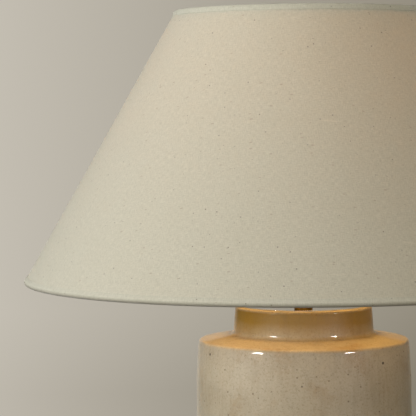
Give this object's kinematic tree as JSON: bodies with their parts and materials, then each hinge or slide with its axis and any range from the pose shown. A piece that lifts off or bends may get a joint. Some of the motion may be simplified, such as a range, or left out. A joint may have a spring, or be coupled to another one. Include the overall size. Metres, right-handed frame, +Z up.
{
  "type": "table lamp",
  "caption": "Table lamp with a glazed stoneware jar base, a brass stem, a lit bulb, a wire harp and a wide cone-shaped linen shade held by a finial.",
  "frame": {"origin": "the centre of the felt pad's underside, where the lamp stands on the table", "axes": "+Z up along the lamp's axis; -Y is the front, where the switch key points; +Y is the back, where the cord inlet and the shade's seam are; the harp's legs stand along +X and -X"},
  "size_m": [0.4564, 0.4564, 0.602],
  "materials": {
    "glazed_stoneware": "glossy clear glaze over speckled oatmeal stoneware",
    "felt": "matt felt",
    "steel": "zinc plated",
    "brass": "polished, lacquered",
    "rubber": "matt",
    "card": "matt pressed card",
    "black_plastic": "moulded, satin to gloss",
    "aluminium": "bright rolled",
    "nickel": "nickel plated",
    "lit_glass": "frosted, lit warm white",
    "linen": "natural woven linen with slubs and dark flecks",
    "styrene": "white styrene sheet",
    "painted_wire": "off-white paint"
  },
  "bodies": {
    "base": {"jar": "glazed_stoneware", "neck_cap": "nickel", "felt_pad": "felt", "base_plate": "steel", "rod_lock_washer": "steel", "rod": "steel", "cord_inlet_bush": "rubber", "rod_nut": "brass", "top_rubber_washer": "rubber", "top_nut": "brass", "stem_tube": "brass", "stem_collar": "brass", "harp_saddle": "brass", "saddle_nut": "brass", "socket_cap": "brass", "socket_shell": "brass", "socket_insulator": "card", "socket_core": "black_plastic", "screw_shell": "aluminium", "centre_contact": "brass", "terminal_screw_live": "brass", "terminal_screw_neutral": "brass", "harp_bow": "nickel"},
    "switch": {"switch_key": "black_plastic"},
    "bulb": {"bulb_glass": "lit_glass", "bulb_cap": "nickel", "bulb_tip": "brass", "bulb_filament_post": "lit_glass"},
    "ferrule_left": {"harp_sleeve_left": "nickel"},
    "ferrule_right": {"harp_sleeve_right": "nickel"},
    "stud": {"swivel_stud": "nickel"},
    "shade": {"shade_fabric": "linen", "shade_liner": "styrene", "bottom_ring": "painted_wire", "top_ring": "painted_wire", "bottom_hem": "linen", "top_hem": "linen", "spider_washer": "painted_wire", "spider_arm_back": "painted_wire", "spider_arm_left": "painted_wire", "spider_arm_right": "painted_wire"},
    "finial": {"finial": "brass"}
  },
  "joints": [
    {"name": "switch_turn", "type": "hinge", "parent": "base", "child": "switch", "pos_m": [0, -0.02, 0.4205], "axis": [0, -1, 0], "continuous": true},
    {"name": "bulb_out", "type": "slide", "parent": "base", "child": "bulb", "axis": [0, 0, 1], "range_m": [0, 0.024]},
    {"name": "ferrule_left_up", "type": "slide", "parent": "base", "child": "ferrule_left", "axis": [0, 0, 1], "range_m": [0, 0.01]},
    {"name": "ferrule_right_up", "type": "slide", "parent": "base", "child": "ferrule_right", "axis": [0, 0, 1], "range_m": [0, 0.01]},
    {"name": "shade_swivel", "type": "hinge", "parent": "base", "child": "stud", "pos_m": [0, 0, 0.5715], "axis": [0, 0, 1], "continuous": true},
    {"name": "shade_lift", "type": "slide", "parent": "stud", "child": "shade", "axis": [0, 0, 1], "range_m": [0, 0.25]},
    {"name": "finial_off", "type": "slide", "parent": "shade", "child": "finial", "axis": [0, 0, 1], "range_m": [0, 0.03]}
  ]
}
